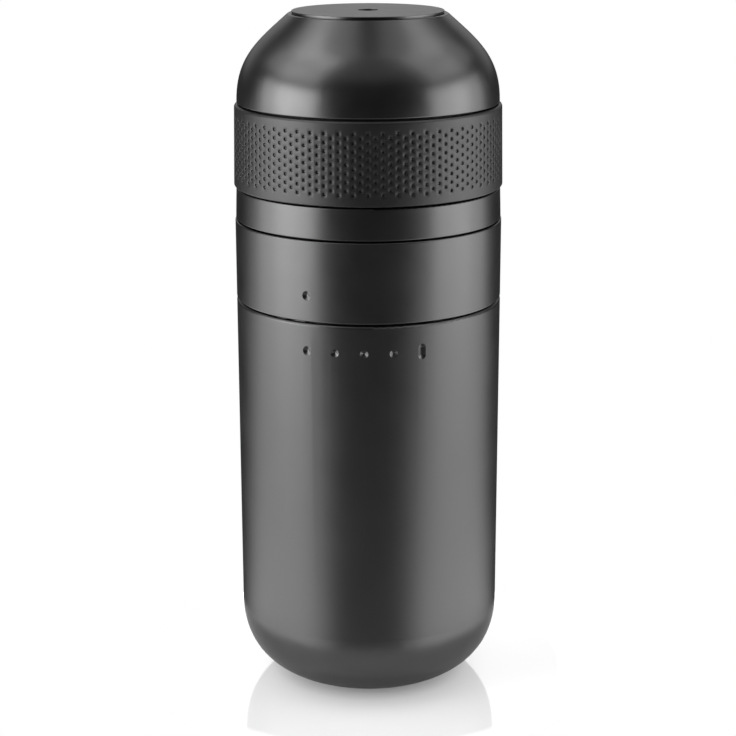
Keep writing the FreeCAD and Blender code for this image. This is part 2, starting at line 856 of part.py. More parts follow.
def filter_holder():
    """A fluted cup under the cylinder. Its lugs sit on the cylinder's lugs until it is twisted."""
    pocket = basket_radius + holder_pocket_gap
    skirt_top = ledge + holder_skirt_height
    boss = nozzle_thread_radius + holder_boss_wall
    throat = holder_floor_top - holder_funnel
    bend = holder_floor_low + holder_foot_round
    flute_top = ledge - holder_flute_drop - holder_flute_radius
    holder = Outline(outlet_radius, holder_floor_low)
    holder.line(nozzle_thread_radius, holder_floor_low).line(nozzle_thread_radius, boss_low)
    holder.line(boss, boss_low).line(boss, holder_floor_low)
    holder.line(holder_radius - holder_foot_round, holder_floor_low)
    holder.quarter(holder_radius, bend, holder_radius - holder_foot_round, bend)
    holder.line(holder_radius, ledge)
    holder.line(holder_skirt_radius, ledge + holder_waist_height)
    holder.line(holder_skirt_radius, skirt_top).line(holder_skirt_bore, skirt_top)
    holder.line(holder_skirt_bore, ledge).line(pocket, ledge).line(pocket, holder_floor_top)
    holder.line(outlet_radius + outlet_bevel, throat)
    holder.line(outlet_radius, throat - outlet_bevel)
    lug_top = skirt_top - holder_lug_drop
    lug = sector(
        (holder_skirt_radius + holder_skirt_bore) / 2,
        holder_skirt_bore - holder_lug_reach,
        lug_top - holder_lug_height,
        lug_top,
        front,
        group_lug_width,
    )
    solid = fused(holder.turned(), round_the_axis(lug, lug_count))
    middle = holder_radius + holder_flute_radius - holder_flute_depth
    flute = post(holder_flute_radius, middle, holder_floor_low, flute_top)
    flute = flute.fuse(Part.makeSphere(holder_flute_radius, Vector(middle, 0, flute_top)))
    return solid.cut(round_the_axis(flute, holder_flutes))


def spout_nozzle():
    thread = nozzle_thread_radius - fit_gap
    flange = nozzle_thread_radius + nozzle_flange_reach
    cup_top = holder_floor_low - nozzle_top_gap
    foot = nozzle_bore + nozzle_foot_wall
    floor = nozzle_low + nozzle_wall
    nozzle = Outline(0, nozzle_low)
    nozzle.line(foot, nozzle_low).line(foot + nozzle_wall, nozzle_flange_low)
    nozzle.line(flange, nozzle_flange_low).line(flange, boss_low).line(thread, boss_low)
    nozzle.line(thread, cup_top).line(nozzle_bore, cup_top).line(nozzle_bore, floor)
    nozzle.line(0, floor)
    hole = post(nozzle_hole_radius, nozzle_hole_circle, nozzle_low, floor)
    return nozzle.turned().cut(round_the_axis(hole, nozzle_hole_count))


def valve_poppet():
    guide_low_z = poppet_low - poppet_guide_length
    radius = outlet_radius + poppet_overlap
    nose = outlet_radius - run_gap
    poppet = Outline(0, guide_low_z)
    poppet.line(poppet_guide_radius, guide_low_z).line(poppet_guide_radius, poppet_low)
    poppet.line(radius, poppet_low).line(radius, poppet_top).line(nose, poppet_top)
    poppet.line(nose / 2, poppet_top + poppet_nose).line(0, poppet_top + poppet_nose)
    return poppet.turned()


def valve_spring():
    low = nozzle_low + nozzle_wall + spring_wire / 2 + fit_gap
    height = poppet_low - spring_wire / 2 - fit_gap - low
    steps = round(spring_turns * spring_steps)
    points = []
    for i in range(steps + 1):
        share = i / steps
        points.append(polar(spring_radius, 360.0 * spring_turns * share, low + height * share))
    coil = Part.BSplineCurve()
    coil.interpolate(points)
    start = coil.tangent(coil.FirstParameter)[0]
    circle = Part.makeCircle(spring_wire / 2, points[0], start)
    return Part.Wire(coil.toShape()).makePipeShell([Part.Wire(circle)], True, True)


# ---- build ---------------------------------------------------------------------------------------
pieces = [
    mug_shell,
    mug_liner,
    mug_foot,
    bayonet_ring,
    lock_collar,
    press_head,
    mouth_gasket,
    bearing_band,
    carrier_screws,
    thrust_washer,
    lower_washer,
    guide_plate,
    brew_cylinder,
    cylinder_seal,
    shower_screen,
    group_gasket,
    drive_nut,
    ring_hub,
    hub_lock_ring,
    grip_sleeve,
    cap_seal,
    cap_shell,
    cap_liner,
    press_stem,
    piston_head,
    piston_seals,
    inlet_valve,
    filter_basket,
    filter_holder,
    spout_nozzle,
    valve_poppet,
    valve_spring,
]
os.makedirs("parts", exist_ok=True)
for piece in pieces:
    piece().exportStep("parts/" + piece.__name__ + ".step")
print("stroke %.2f, height %.2f, spout up %.2f" % (stroke, overall_height, nozzle_low))
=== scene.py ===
# %% [markdown]
# # A hand press for espresso, piece by piece
#
# This notebook dresses a small screw press that makes espresso without a machine: a double-walled
# mug, a collar that locks it, a ring that is twisted to push a piston down, and a domed cap. The
# solids come from a CAD frame and never move here. What Blender adds is the finish of each
# surface, the dimples of the grip, the screw thread, a spring and the light.

# %% Open the frame
import json
import math

import bpy
from mathutils import Matrix, Vector

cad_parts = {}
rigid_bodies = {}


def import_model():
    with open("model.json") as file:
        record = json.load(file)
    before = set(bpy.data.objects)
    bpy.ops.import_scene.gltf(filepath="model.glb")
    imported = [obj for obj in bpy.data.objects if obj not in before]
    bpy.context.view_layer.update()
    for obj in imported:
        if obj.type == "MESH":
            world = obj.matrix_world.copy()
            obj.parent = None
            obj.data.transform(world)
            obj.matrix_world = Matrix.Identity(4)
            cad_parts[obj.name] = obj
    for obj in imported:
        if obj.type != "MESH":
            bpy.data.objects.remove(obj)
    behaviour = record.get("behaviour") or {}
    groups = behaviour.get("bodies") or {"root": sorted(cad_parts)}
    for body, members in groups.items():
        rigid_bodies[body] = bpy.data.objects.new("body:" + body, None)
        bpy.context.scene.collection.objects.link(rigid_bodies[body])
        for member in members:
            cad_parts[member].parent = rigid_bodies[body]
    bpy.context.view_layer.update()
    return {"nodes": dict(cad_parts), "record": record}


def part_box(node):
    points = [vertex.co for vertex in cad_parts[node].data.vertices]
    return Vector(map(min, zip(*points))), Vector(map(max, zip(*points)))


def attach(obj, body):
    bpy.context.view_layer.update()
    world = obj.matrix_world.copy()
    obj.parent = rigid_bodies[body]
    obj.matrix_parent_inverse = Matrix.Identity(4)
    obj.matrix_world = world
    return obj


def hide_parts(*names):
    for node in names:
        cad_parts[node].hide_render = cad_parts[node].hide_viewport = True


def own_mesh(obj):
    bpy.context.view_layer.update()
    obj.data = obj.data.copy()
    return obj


for leftover in list(bpy.data.objects):
    bpy.data.objects.remove(leftover)
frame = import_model()

# %% [markdown]
# ## Millimetres and colours
#
# Blender works in metres and in linear light, while a maker's drawing is in millimetres and a
# paint card is in sRGB. A factor and one small function do all of the turning over, so that every
# number below can be read as it would stand on the drawing or on the card.

# %% Two converters
MM = 0.001


def linear(hex_colour):
    """A linear RGBA colour from an sRGB hex string such as "#5a5b5d"."""
    channels = [int(hex_colour[i : i + 2], 16) / 255 for i in (1, 3, 5)]
    return [c / 12.92 if c <= 0.04045 else ((c + 0.055) / 1.055) ** 2.4 for c in channels] + [1.0]


print("mid grey in linear light:", [round(c, 3) for c in linear("#808080")[:3]])

# %% [markdown]
# ## One function for every node
#
# A material is a little machine of nodes. Whatever the kind, adding one comes to the same three
# things: make it, set its properties, and feed its inputs. An input takes a number, the socket of
# another node, or a whole node, which then gives its first output. So one function does it for
# all.

# %% Add a node


def add(tree, kind, feeds=None, **settings):
    """A new node. feeds gives its inputs, by name or number, a value, a socket or a node."""
    node = tree.nodes.new(kind)
    for name, value in settings.items():
        setattr(node, name, value)
    for socket, value in (feeds or {}).items():
        if isinstance(value, bpy.types.Node):
            value = value.outputs[0]
        if isinstance(value, bpy.types.NodeSocket):
            tree.links.new(value, node.inputs[socket])
        else:
            node.inputs[socket].default_value = value
    return node


print("nodes are added by", add.__name__)

# %% [markdown]
# ## The camera
#
# A long lens about half a metre away, nearly five centimetres higher than the cap and tilted down
# by sixteen degrees. A long lens keeps the upright sides nearly parallel, as product pictures do,
# and the tilt shows the flat top of the cap and bends every seam into a shallow curve.

# %% Set the camera
LENS, SENSOR = 92.8, 36.0  # millimetres
CAMERA_PLACE = (-0.0002, -0.50655, 0.23169)  # metres
TILT, ROLL = 15.88, -0.14  # degrees: downwards, and round the line of sight

lens = bpy.data.cameras.new("long_lens")
lens.sensor_width = SENSOR
lens.lens = LENS
camera = bpy.data.objects.new("camera", lens)
camera.matrix_world = (
    Matrix.Translation(CAMERA_PLACE)
    @ Matrix.Rotation(math.radians(90 - TILT), 4, "X")
    @ Matrix.Rotation(math.radians(ROLL), 4, "Z")
)
bpy.context.scene.collection.objects.link(camera)
bpy.context.scene.camera = camera
bpy.context.scene.view_settings.view_transform = "Standard"
print("lens", round(lens.lens, 1), "mm, height", round(camera.location.z / MM), "mm")

# %% [markdown]
# ## The studio
#
# Dark satin metal shows hardly any colour of its own: what the eye reads as its shape is the
# studio mirrored in it. So rows of soft boxes stand at each side: the main row for the upright
# highlights, two rows and a single box higher up for the shoulders of the dome, and a low one for
# the foot of the mug. Nothing bright hangs behind the camera, which leaves the dark band down the
# middle. A row is three boxes side by side, because a highlight with soft edges needs its middle
# brighter than its sides. The plan is short: a level for each row, and a share for each column and
# each side.

# %% Hang the soft boxes
AIM = Vector((0.0, 0.0, 0.1))
REACH = 1.2  # metres from the press to a lamp


def soft_box(name, azimuth, elevation, width, height, radiance):
    """A rectangular lamp. Angles are in degrees; azimuth 0 is in front and +90 on the right."""
    across = 2 * REACH * math.tan(math.radians(width / 2))
    tall = 2 * REACH * math.tan(math.radians(height / 2))
    data = bpy.data.lights.new(name, "AREA")
    data.shape = "RECTANGLE"
    data.size = across
    data.size_y = tall
    data.energy = radiance * math.pi * across * tall
    lamp = bpy.data.objects.new(name, data)
    turn, rise = math.radians(azimuth), math.radians(elevation)
    out = math.cos(rise)
    away = Vector((math.sin(turn) * out, -math.cos(turn) * out, math.sin(rise)))
    lamp.location = AIM + REACH * away
    lamp.rotation_euler = away.to_track_quat("Z", "Y").to_euler()
    lamp.visible_camera = False
    bpy.context.scene.collection.objects.link(lamp)
    return lamp


SIDES = {"left": (-1, 1.0, 75), "right": (1, 0.7, 86)}  # hand, share, azimuth of the middle box
LAMP_COLUMNS = {"front": (-1, 0.8), "middle": (0, 1.0), "back": (1, 0.5)}  # place, share
LAMP_ROWS = {  # elevation, how much further back, height of a box, level
    "low": (-9, 0, 10, 3.0),
    "main": (9, 0, 26, 5.5),
    "upper": (38, 10, 18, 2.5),
    "high": (57, 25, 18, 3.0),
}
BOX_WIDTH = 20  # degrees, and also the step from one box to the next
TOP_BOX = (90, 76, 34, 16)  # degrees: azimuth, elevation, width and height

boxes = []
for side, (hand, side_share, middle) in SIDES.items():
    for row, (elevation, further, height, level) in LAMP_ROWS.items():
        step = BOX_WIDTH / math.cos(math.radians(elevation))
        for column, (place, share) in LAMP_COLUMNS.items():
            name = f"{side}_{row}_{column}_box"
            azimuth = hand * (middle + further + place * step)
            box = soft_box(name, azimuth, elevation, BOX_WIDTH, height, level * share * side_share)
            boxes.append(box)
    azimuth, elevation, width, height = TOP_BOX
    boxes.append(soft_box(f"{side}_top_box", hand * azimuth, elevation, width, height, side_share))
print(len(boxes), "soft boxes,", round(sum(b.data.energy for b in boxes), 1), "W in all")

# %% [markdown]
# ## The room behind the lamps
#
# The world is the room. The camera sees it plain white. Metal mirrors a softer version: a pale wall
# behind the press, a bright window high in that wall, which the flat top mirrors, a table that
# reaches out to both sides, a floor that is brightest near its sides and dim in front, a dim
# ceiling in front, and a faint level all round. Each part is a patch of directions with soft edges.
# A patch is described by its level and the lines where it fades in: an axis, where it starts, and
# where it is full. "side" is the distance to either side, so one patch serves left and right.

# %% Lay out the room
world = bpy.data.worlds.new("studio")
bpy.context.scene.world = world
world.use_nodes = True
room = world.node_tree
room.nodes.clear()
looking = add(room, "ShaderNodeTexCoord").outputs["Generated"]
way = add(room, "ShaderNodeSeparateXYZ", {0: looking}).outputs
sideways = add(room, "ShaderNodeMath", {0: way["X"]}, operation="ABSOLUTE").outputs[0]
lines = {"side": sideways, "Y": way["Y"], "Z": way["Z"]}

PATCHES = {
    "wall": (0.4, [("Z", 0.0, 0.15), ("Z", 0.5, 0.3), ("Y", 0.6, 0.9)]),
    "window": (1.8, [("Z", 0.32, 0.37), ("Z", 0.56, 0.49), ("Y", 0.82, 0.88)]),
    "table": (1.4, [("Z", -0.1, -0.2), ("Z", -0.5, -0.35), ("side", 0.5, 0.9), ("Y", 0.8, 0.2)]),
    "side_floor": (3.0, [("Z", -0.35, -0.5), ("Z", -0.8, -0.65), ("side", 0.35, 0.75)]),
    "front_floor": (0.4, [("Z", -0.25, -0.5), ("Y", -0.35, -0.65)]),
    "ceiling": (0.25, [("Z", 0.5, 0.75), ("Y", -0.1, -0.35)]),
}
EVEN = 0.03  # the faint level all round
print("the room has", len(PATCHES), "patches:", ", ".join(PATCHES))

# %% [markdown]
# The patches are added up by a chain of nodes. Matt surfaces get one quiet level from all round
# instead of the patches, the camera gets white, and a Light Path node tells these apart.

# %% Paint the room
mirrored = EVEN
for strength, fades in PATCHES.values():
    patch = strength
    for line, start, full in fades:
        feeds = {"Value": lines[line], "From Min": start, "From Max": full}
        fade = add(room, "ShaderNodeMapRange", feeds, interpolation_type="SMOOTHSTEP")
        patch = add(room, "ShaderNodeMath", {0: patch, 1: fade}, operation="MULTIPLY")
    mirrored = add(room, "ShaderNodeMath", {0: mirrored, 1: patch}, operation="ADD")

MATT_LEVEL = 0.5
ray = add(room, "ShaderNodeLightPath").outputs
shiny = {0: ray["Is Glossy Ray"], 1: ray["Is Transmission Ray"]}
for_metal = add(room, "ShaderNodeMath", shiny, operation="MAXIMUM")
level = add(room, "ShaderNodeMix", {"Factor": for_metal, 2: MATT_LEVEL, 3: mirrored})
seen_level = add(room, "ShaderNodeMix", {"Factor": ray["Is Camera Ray"], 2: level, 3: 1.0})
light = add(room, "ShaderNodeBackground", {"Color": linear("#ffffff"), "Strength": seen_level})
add(room, "ShaderNodeOutputWorld", {"Surface": light})
print("the room has", len(room.nodes), "nodes")

# %% [markdown]
# ## Finishes: how a surface was made
#
# Every material below is named for its stuff and for how its surface was made. All of them start
# with an empty tree and a point's own place in the part, in metres, because the patterns are laid
# out by real sizes: a Scale of 1000 / 9 gives spots about nine millimetres across.

# %% Start a material


def blank(name):
    """A new material without nodes, and its tree."""
    material = bpy.data.materials.new(name)
    material.use_nodes = True
    material.node_tree.nodes.clear()
    return material, material.node_tree


def spots(size_mm):
    """The Scale at which noise has spots about this many millimetres across."""
    return 1 / (size_mm * MM)


print("spots of 2 mm need a scale of", spots(2))

# %% [markdown]
# ## The table
#
# A small sheet of polished white acrylic. It is white to its core, and its smooth skin mirrors the
# press faintly, more so the flatter one looks along it. Acrylic has an IOR of 1.49; 1.7 lets the
# press show in it a little more. The sheet is kept small, so that the upright sides of the press
# mirror the dark room beyond it.

# %% Cut the acrylic sheet
SHEET_RADIUS, SHEET_POINTS = 64 * MM, 96
SHEET_DROP = 0.02 * MM  # keeps its skin clear of the foot's

sheet_mesh = bpy.data.meshes.new("acrylic_sheet")
turns = [math.tau * i / SHEET_POINTS for i in range(SHEET_POINTS)]
rim = [(SHEET_RADIUS * math.cos(a), SHEET_RADIUS * math.sin(a), -SHEET_DROP) for a in turns]
sheet_mesh.from_pydata(rim, [], [range(SHEET_POINTS)])
sheet = bpy.data.objects.new("acrylic_sheet", sheet_mesh)
bpy.context.scene.collection.objects.link(sheet)
print("the sheet is", round(2 * SHEET_RADIUS / MM), "mm across")

# %% [markdown]
# The camera alone also sees a glow painted into the sheet: hardly any close to the foot, which
# paints a shade round it beside the real shadow of the press, and all of it at the rim, so that the
# sheet melts into the white round it. A ramp over the distance from the middle says how much.

# %% Polish the sheet, and paint a glow and a shade on it for the camera
# painted light and shade for the camera only: a low glow near the foot paints shade round it, a
# full one at the rim paints it white
PAINTED_GLOW_AND_SHADE = [(18, 0.1), (28, 0.3), (54, 0.2), (64, 1.0)]  # millimetres from the middle, level

acrylic, tree = blank("acrylic_white_polished")
seen = add(tree, "ShaderNodeLightPath").outputs["Is Camera Ray"]
spot = add(tree, "ShaderNodeTexCoord").outputs["Object"]
out = add(tree, "ShaderNodeVectorMath", {0: spot}, operation="LENGTH").outputs["Value"]
share = add(tree, "ShaderNodeMath", {0: out, 1: SHEET_RADIUS}, operation="DIVIDE")
painted_glow_and_shade_ramp = add(tree, "ShaderNodeValToRGB", {"Fac": share})
stops = painted_glow_and_shade_ramp.color_ramp.elements
for distance, level in PAINTED_GLOW_AND_SHADE:
    stops.new(distance * MM / SHEET_RADIUS).color = (level, level, level, 1.0)
# painted glow: an emission that only the camera sees, though the sheet is no lamp
painted_glow_and_shade = add(tree, "ShaderNodeMath", {0: seen, 1: painted_glow_and_shade_ramp}, operation="MULTIPLY")
feeds = {"Base Color": linear("#d8d8d8"), "Roughness": 0.06, "IOR": 1.7}
feeds |= {"Emission Color": linear("#ffffff"), "Emission Strength": painted_glow_and_shade}
skin = add(tree, "ShaderNodeBsdfPrincipled", feeds)
add(tree, "ShaderNodeOutputMaterial", {"Surface": skin})
sheet_mesh.materials.append(acrylic)
print(acrylic.name, "has", len(tree.nodes), "nodes")

# %% [markdown]
# ## Black anodised aluminium
#
# The collar, the band and the cap are turned from aluminium, blasted with fine glass beads, and
# anodised black. The oxide is thin, so it still behaves as metal: a dark one. Blasting leaves
# shallow pits of about a tenth of a millimetre, which spread a highlight into a satin bloom. That
# grain is too fine to show at this size, so it is drawn at a quarter of a millimetre, and a slow
# cloudiness of the roughness stands for the hand that held the blasting nozzle.

# %% Anodise the aluminium
anodised, tree = blank("aluminium_blasted_black_anodised")
spot = add(tree, "ShaderNodeTexCoord").outputs["Object"]
cloud = add(tree, "ShaderNodeTexNoise", {"Vector": spot, "Scale": spots(9), "Detail": 3.0})
satin = {"Value": cloud, "From Min": 0.3, "From Max": 0.7, "To Min": 0.28, "To Max": 0.32}
beads = add(tree, "ShaderNodeTexNoise", {"Vector": spot, "Scale": spots(0.25)})
relief = add(tree, "ShaderNodeBump", {"Height": beads, "Distance": 0.004 * MM})
feeds = {"Base Color": linear("#5a5a5a"), "Metallic": 1.0, "Normal": relief}
feeds["Roughness"] = add(tree, "ShaderNodeMapRange", satin)
add(tree, "ShaderNodeOutputMaterial", {0: add(tree, "ShaderNodeBsdfPrincipled", feeds)})
print(anodised.name, "has", len(tree.nodes), "nodes")

# %% [markdown]
# ## Baked graphite lacquer
#
# The mug is drawn from stainless steel and sprayed with a lacquer full of metal flake, then baked.
# The flake makes it mirror like metal, and it matches the anodised pieces in colour. One flake is
# too small to show, so its grain is drawn at three tenths of a millimetre. The lacquer lies over
# the steel in a skin with the faintest orange peel, a millimetre and a half from crest to crest.

# %% Spray the mug
lacquer, tree = blank("steel_baked_graphite_lacquer")
spot = add(tree, "ShaderNodeTexCoord").outputs["Object"]
cloud = add(tree, "ShaderNodeTexNoise", {"Vector": spot, "Scale": spots(12), "Detail": 3.0})
satin = {"Value": cloud, "From Min": 0.3, "From Max": 0.7, "To Min": 0.3, "To Max": 0.34}
flake = add(tree, "ShaderNodeTexNoise", {"Vector": spot, "Scale": spots(0.3)})
peel = add(tree, "ShaderNodeTexNoise", {"Vector": spot, "Scale": spots(1.5), "Detail": 1.0})
fine = add(tree, "ShaderNodeBump", {"Height": flake, "Distance": 0.003 * MM})
relief = add(tree, "ShaderNodeBump", {"Height": peel, "Distance": 0.004 * MM, "Normal": fine})
feeds = {"Base Color": linear("#585858"), "Metallic": 1.0, "Normal": relief}
feeds["Roughness"] = add(tree, "ShaderNodeMapRange", satin)
add(tree, "ShaderNodeOutputMaterial", {0: add(tree, "ShaderNodeBsdfPrincipled", feeds)})
print(lacquer.name, "has", len(tree.nodes), "nodes")

# %% [markdown]
# ## The same metal for the grip
#
# The grip ring is the one piece that fingers work on. Its dimples are cut before the blasting, and
# it is blasted harder than its neighbours. So its grain is drawn half as deep again as theirs, its
# highlights are the softest, and its colour is a shade darker than theirs.

# %% Anodise the grip
gripping, tree = blank("aluminium_dimpled_black_anodised")
spot = add(tree, "ShaderNodeTexCoord").outputs["Object"]
cloud = add(tree, "ShaderNodeTexNoise", {"Vector": spot, "Scale": spots(7), "Detail": 3.0})
satin = {"Value": cloud, "From Min": 0.3, "From Max": 0.7, "To Min": 0.4, "To Max": 0.45}
beads = add(tree, "ShaderNodeTexNoise", {"Vector": spot, "Scale": spots(0.25)})
relief = add(tree, "ShaderNodeBump", {"Height": beads, "Distance": 0.006 * MM})
feeds = {"Base Color": linear("#484848"), "Metallic": 1.0, "Normal": relief}
feeds["Roughness"] = add(tree, "ShaderNodeMapRange", satin)
add(tree, "ShaderNodeOutputMaterial", {0: add(tree, "ShaderNodeBsdfPrincipled", feeds)})
print(gripping.name, "has", len(tree.nodes), "nodes")

# %% [markdown]
# ## Patterns that run round
#
# Most of the inner pieces were turned on a lathe or polished while they spun, which leaves rings
# round the upright axis. Such a pattern must not change with the turn, only with the distance from
# the axis and the height, so it is laid out in those two.

# %% Measure along the section


def section_place(tree):
    """Distance from the axis, and height, as a vector for a pattern of rings."""
    spot = add(tree, "ShaderNodeTexCoord").outputs["Object"]
    flat = add(tree, "ShaderNodeVectorMath", {0: spot, 1: (1.0, 1.0, 0.0)}, operation="MULTIPLY")
    out = add(tree, "ShaderNodeVectorMath", {0: flat}, operation="LENGTH").outputs["Value"]
    up = add(tree, "ShaderNodeSeparateXYZ", {0: spot}).outputs["Z"]
    return add(tree, "ShaderNodeCombineXYZ", {0: out, 1: up})


print("rings are laid out by", section_place.__name__)

# %% [markdown]
# ## Brushed stainless steel
#
# The inner cup, the bayonet ring, the basket, the screen and the screws are bare steel. A pad held
# to them while they spin leaves fine scratches round the axis. The real ones are some hundredths
# of a millimetre apart, so they are drawn at four tenths, with broader bands of 1.3 mm among them,
# and both change the roughness as well as the surface.

# %% Brush the steel
steel, tree = blank("stainless_steel_spun_brushed")
ringed = section_place(tree)
scratch = add(tree, "ShaderNodeTexNoise", {"Vector": ringed, "Scale": spots(0.4)})
band = add(tree, "ShaderNodeTexNoise", {"Vector": ringed, "Scale": spots(1.3)})
both = add(tree, "ShaderNodeMath", {0: scratch, 1: band}, operation="ADD")
spread = {"Value": both, "From Min": 0.7, "From Max": 1.3, "To Min": 0.2, "To Max": 0.32}
relief = add(tree, "ShaderNodeBump", {"Height": both, "Distance": 0.004 * MM})
feeds = {"Base Color": linear("#c9c8c5"), "Metallic": 1.0, "Normal": relief}
feeds["Roughness"] = add(tree, "ShaderNodeMapRange", spread)
add(tree, "ShaderNodeOutputMaterial", {0: add(tree, "ShaderNodeBsdfPrincipled", feeds)})
print(steel.name, "has", len(tree.nodes), "nodes")

# %% [markdown]
# ## Glass-filled nylon
#
# Everything that touches hot water under pressure, and is not steel, is moulded in black nylon
# stiffened with glass. The mould was spark-eroded, which prints a fine matt grain, drawn here at a
# third of a millimetre so that it shows. The glass fibres near the skin make it slightly cloudy.

# %% Mould the nylon
nylon, tree = blank("nylon_glass_filled_moulded")
spot = add(tree, "ShaderNodeTexCoord").outputs["Object"]
cloud = add(tree, "ShaderNodeTexNoise", {"Vector": spot, "Scale": spots(4), "Detail": 3.0})
matt = {"Value": cloud, "From Min": 0.3, "From Max": 0.7, "To Min": 0.44, "To Max": 0.54}
spark = add(tree, "ShaderNodeTexNoise", {"Vector": spot, "Scale": spots(0.35), "Detail": 1.0})
relief = add(tree, "ShaderNodeBump", {"Height": spark, "Distance": 0.012 * MM})
tones = {"Factor": cloud, 6: linear("#262628"), 7: linear("#303032")}
shades = add(tree, "ShaderNodeMix", tones, data_type="RGBA").outputs[2]
feeds = {"Base Color": shades, "IOR": 1.53, "Normal": relief}
feeds["Roughness"] = add(tree, "ShaderNodeMapRange", matt)
add(tree, "ShaderNodeOutputMaterial", {0: add(tree, "ShaderNodeBsdfPrincipled", feeds)})
print(nylon.name, "has", len(tree.nodes), "nodes")

# %% [markdown]
# ## Natural acetal
#
# The nut and its two washers rub under load, so they are turned from acetal, a slippery milk-white
# plastic that lets a little light in. The tool leaves rings about a fifth of a millimetre apart,
# drawn at twice that.

# %% Turn the acetal
acetal, tree = blank("acetal_natural_turned")
spot = add(tree, "ShaderNodeTexCoord").outputs["Object"]
cloud = add(tree, "ShaderNodeTexNoise", {"Vector": spot, "Scale": spots(5)})
waxy = {"Value": cloud, "From Min": 0.3, "From Max": 0.7, "To Min": 0.32, "To Max": 0.4}
cuts = add(tree, "ShaderNodeTexNoise", {"Vector": section_place(tree), "Scale": spots(0.4)})
relief = add(tree, "ShaderNodeBump", {"Height": cuts, "Distance": 0.006 * MM})
feeds = {"Base Color": linear("#e3ddcf"), "IOR": 1.48, "Normal": relief}
feeds |= {"Subsurface Weight": 0.2, "Subsurface Radius": (0.002, 0.0018, 0.0014)}
feeds["Roughness"] = add(tree, "ShaderNodeMapRange", waxy)
add(tree, "ShaderNodeOutputMaterial", {0: add(tree, "ShaderNodeBsdfPrincipled", feeds)})
print(acetal.name, "has", len(tree.nodes), "nodes")

# %% [markdown]
# ## Clear anodised aluminium
#
# The screw stem and its lock ring are cut from aluminium and anodised without a dye: a pale, hard,
# slightly milky metal with the rings of the cutting tool on it, drawn at a third of a millimetre.

# %% Anodise the screw
pale_metal, tree = blank("aluminium_screw_cut_clear_anodised")
spot = add(tree, "ShaderNodeTexCoord").outputs["Object"]
cloud = add(tree, "ShaderNodeTexNoise", {"Vector": spot, "Scale": spots(3)})
milky = {"Value": cloud, "From Min": 0.3, "From Max": 0.7, "To Min": 0.26, "To Max": 0.34}
cuts = add(tree, "ShaderNodeTexNoise", {"Vector": section_place(tree), "Scale": spots(0.35)})
relief = add(tree, "ShaderNodeBump", {"Height": cuts, "Distance": 0.005 * MM})
feeds = {"Base Color": linear("#c3c4c5"), "Metallic": 1.0, "Normal": relief}
feeds["Roughness"] = add(tree, "ShaderNodeMapRange", milky)
add(tree, "ShaderNodeOutputMaterial", {0: add(tree, "ShaderNodeBsdfPrincipled", feeds)})
print(pale_metal.name, "has", len(tree.nodes), "nodes")

# %% [markdown]
# ## Dark silicone
#
# The foot and the gaskets are dark silicone. It comes matt from the mould and holds a little dust,
# which lightens it where light grazes: a soft sheen does that.

# %% Mould the dark silicone
silicone, tree = blank("silicone_dark_moulded")
spot = add(tree, "ShaderNodeTexCoord").outputs["Object"]
cloud = add(tree, "ShaderNodeTexNoise", {"Vector": spot, "Scale": spots(3)})
matt = {"Value": cloud, "From Min": 0.3, "From Max": 0.7, "To Min": 0.55, "To Max": 0.66}
skin = add(tree, "ShaderNodeTexNoise", {"Vector": spot, "Scale": spots(0.4)})
relief = add(tree, "ShaderNodeBump", {"Height": skin, "Distance": 0.01 * MM})
feeds = {"Base Color": linear("#3a3b3d"), "IOR": 1.41, "Sheen Weight": 0.15, "Normal": relief}
feeds["Roughness"] = add(tree, "ShaderNodeMapRange", matt)
add(tree, "ShaderNodeOutputMaterial", {0: add(tree, "ShaderNodeBsdfPrincipled", feeds)})
print(silicone.name, "has", len(tree.nodes), "nodes")

# %% [markdown]
# ## Pale silicone
#
# The piston's seals and the valves are the pale, cloudy silicone that is passed for food. Light
# goes a few millimetres into it and comes out again softer, which subsurface scattering does.

# %% Mould the pale silicone
pale_silicone, tree = blank("silicone_clear_moulded")
spot = add(tree, "ShaderNodeTexCoord").outputs["Object"]
cloud = add(tree, "ShaderNodeTexNoise", {"Vector": spot, "Scale": spots(3)})
matt = {"Value": cloud, "From Min": 0.3, "From Max": 0.7, "To Min": 0.45, "To Max": 0.56}
skin = add(tree, "ShaderNodeTexNoise", {"Vector": spot, "Scale": spots(0.4)})
relief = add(tree, "ShaderNodeBump", {"Height": skin, "Distance": 0.008 * MM})
feeds = {"Base Color": linear("#d9d6cf"), "IOR": 1.41, "Normal": relief}
feeds |= {"Subsurface Weight": 0.35, "Subsurface Radius": (0.003, 0.0028, 0.0025)}
feeds["Roughness"] = add(tree, "ShaderNodeMapRange", matt)
add(tree, "ShaderNodeOutputMaterial", {0: add(tree, "ShaderNodeBsdfPrincipled", feeds)})
print(pale_silicone.name, "has", len(tree.nodes), "nodes")

# %% [markdown]
# ## Dress the solids
#
# Most solids from the CAD frame already have the shape of the real piece, so they only change
# their clothes: each gets the finish that its place in the press calls for.

# %% Give each solid its finish
wardrobe = {
    "mug_enamel": lacquer,
    "steel": steel,
    "black_aluminium": anodised,
    "grip_aluminium": gripping,
    "black_polymer": nylon,
    "bearing_polymer": acetal,
    "bare_aluminium": pale_metal,
    "silicone": silicone,
    "pale_silicone": pale_silicone,
}
slot_of = {part["node"]: part["material_slot"] for part in frame["record"]["subparts"]}
for node, solid in frame["nodes"].items():
    for slot in solid.material_slots:
        slot.material = wardrobe[slot_of[node]]
print("dressed", len(slot_of), "solids in", len(set(slot_of.values())), "finishes")

# %% [markdown]
# ## Turning a piece from its section
#
# A turned piece is its section swept round the axis. A Screw modifier would do that, but the grip
# needs clean round pits in its wall, and a knife through a finished mesh leaves ragged shading. So
# the sweep is written out: points of the section times directions round the axis. First comes the
# section: its corners may have a third number, the radius that rounds them.

# %% Round the corners of a section


